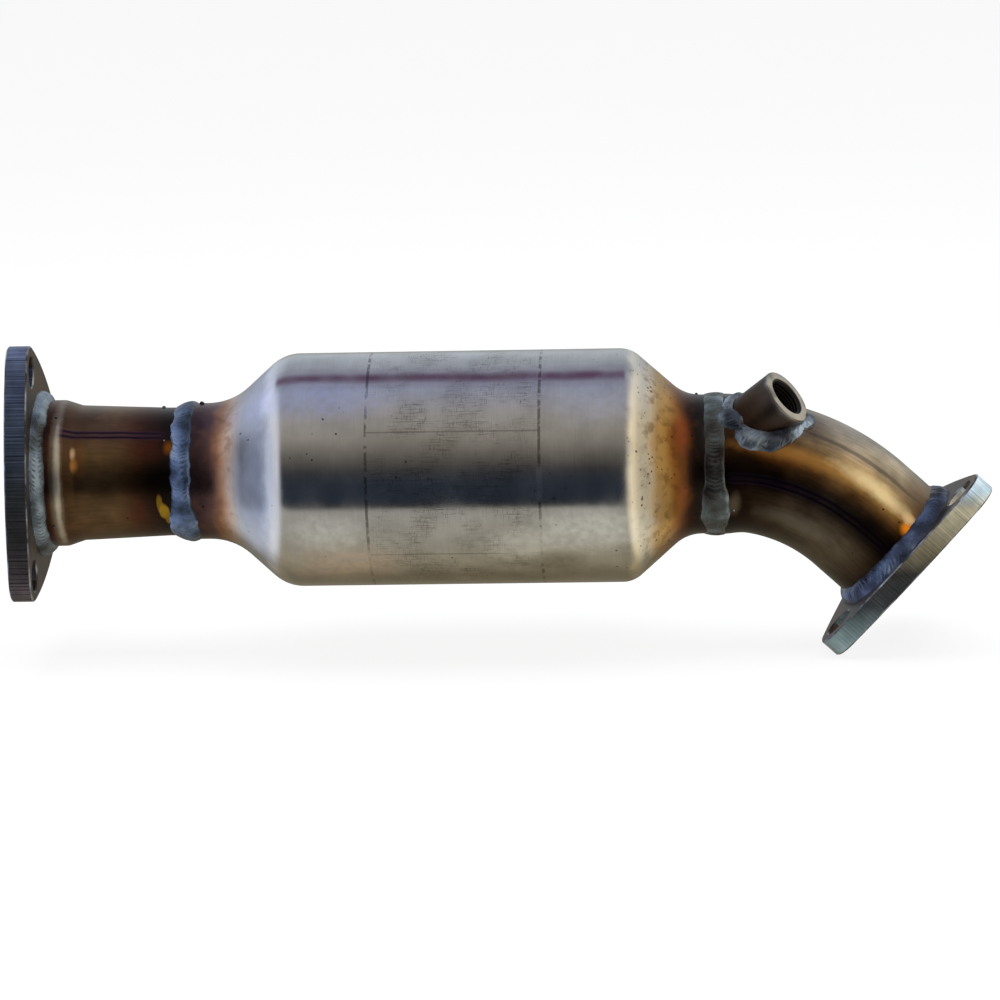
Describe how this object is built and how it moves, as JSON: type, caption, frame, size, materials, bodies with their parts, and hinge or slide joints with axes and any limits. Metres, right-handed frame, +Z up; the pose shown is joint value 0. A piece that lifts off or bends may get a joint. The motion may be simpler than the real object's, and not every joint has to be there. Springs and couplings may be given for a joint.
{
  "type": "catalytic converter",
  "caption": "Direct-fit catalytic converter: three-bolt inlet flange, tapered pipe, spun can round a ceramic brick, and a bent outlet pipe with a slanted sensor boss and a three-bolt flange.",
  "frame": {"origin": "centre of the inlet flange's outer face, on the can's axis", "axes": "+X runs down the can's axis with the gas, from inlet to outlet; +Z is up, and the outlet elbow turns down in the XZ plane; the sensor boss leans up towards -Y"},
  "size_m": [0.436, 0.1156, 0.1439],
  "materials": {
    "flange_steel": "laser-cut rim, heat-darkened",
    "pipe_steel": "stainless tube with bronze heat tint",
    "can_steel": "spun and brushed stainless sheet",
    "boss_steel": "turned, heat-browned",
    "weld_metal": "rippled, blue-grey",
    "mat_fibre": "intumescent fibre mat",
    "ceramic": "coated cordierite"
  },
  "bodies": {
    "root": {"inlet_flange": "flange_steel", "inlet_flange_weld": "weld_metal", "inlet_pipe": "pipe_steel", "inlet_neck_weld": "weld_metal", "converter_shell": "can_steel", "support_mat": "mat_fibre", "catalyst_substrate": "ceramic", "outlet_neck_weld": "weld_metal", "outlet_elbow": "pipe_steel", "sensor_boss": "boss_steel", "sensor_boss_weld": "weld_metal", "outlet_flange_weld": "weld_metal", "outlet_flange": "flange_steel"}
  },
  "joints": []
}
